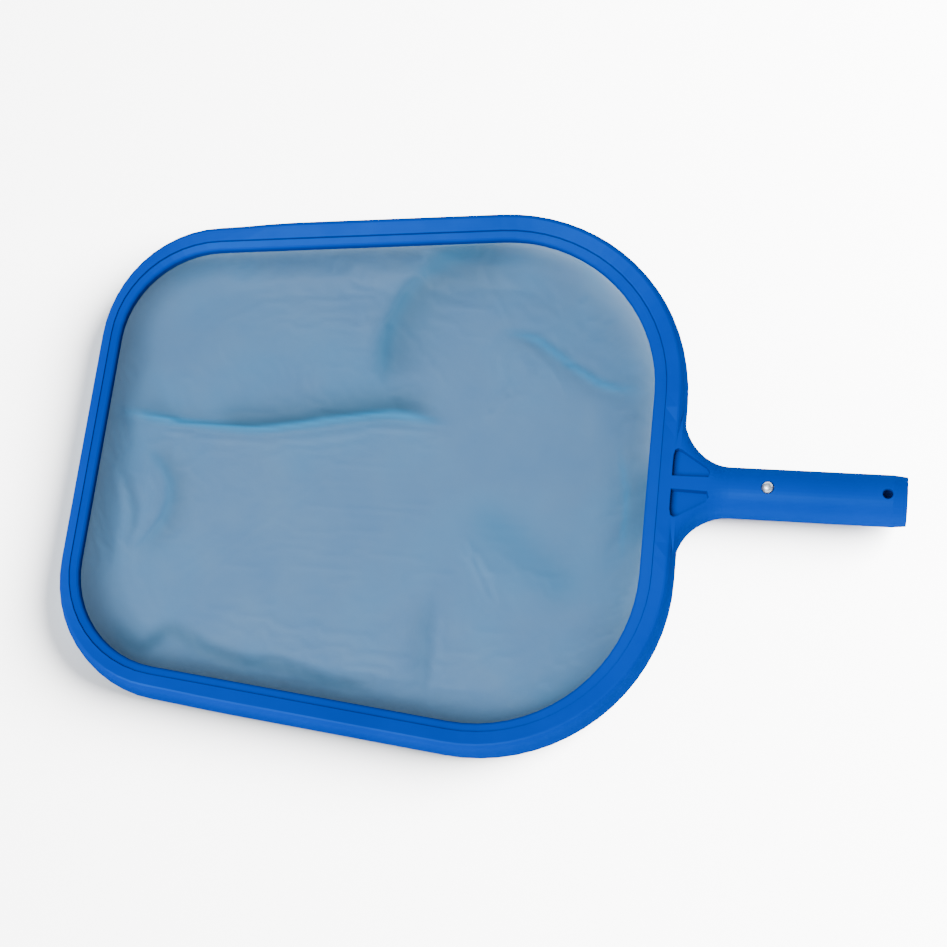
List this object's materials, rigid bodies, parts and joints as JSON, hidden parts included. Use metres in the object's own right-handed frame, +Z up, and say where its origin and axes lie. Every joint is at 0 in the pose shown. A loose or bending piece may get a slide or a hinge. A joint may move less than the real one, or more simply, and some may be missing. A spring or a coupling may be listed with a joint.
{
  "type": "leaf skimmer net",
  "caption": "Flat pool leaf skimmer head: moulded rim with tubular pole handle, snap-in ring clamping a fine shallow mesh bag, and a sprung snap-button clip.",
  "frame": {"origin": "centre of the bounding box on the surface that the part rests on", "axes": "+X along the handle towards its open end, +Z up, out of the mouth of the net"},
  "size_m": [0.4726, 0.3164, 0.0347],
  "materials": {
    "frame_plastic": "semi-gloss injection-moulded polypropylene, saturated blue",
    "ring_plastic": "semi-gloss injection-moulded polypropylene, saturated blue",
    "net_mesh": "fine woven nylon monofilament mesh, translucent pale blue",
    "welt_cord": "mesh hem rolled round a soft cord",
    "clip_steel": "cold-rolled stainless spring strip",
    "button_steel": "turned stainless steel, satin dome"
  },
  "bodies": {
    "head": {"frame": "frame_plastic", "retaining_ring": "ring_plastic", "net_bag": "net_mesh", "net_welt": "welt_cord", "clip_bend": "clip_steel"},
    "upper_leg": {"clip_leg_upper": "clip_steel", "clip_button_upper": "button_steel"},
    "lower_leg": {"clip_leg_lower": "clip_steel", "clip_button_lower": "button_steel"}
  },
  "joints": [
    {"name": "upper_button_press", "type": "hinge", "parent": "head", "child": "upper_leg", "pos_m": [0.20916, 0, 0.02645], "axis": [0, -1, 0], "range_deg": [0, 3.3], "stiffness_Nm_per_rad": 4, "springref_deg": -2.86},
    {"name": "lower_button_press", "type": "hinge", "parent": "head", "child": "lower_leg", "pos_m": [0.20993, 0, 0.01247], "axis": [0, 1, 0], "range_deg": [0, 3.3], "stiffness_Nm_per_rad": 4, "springref_deg": -2.86}
  ]
}
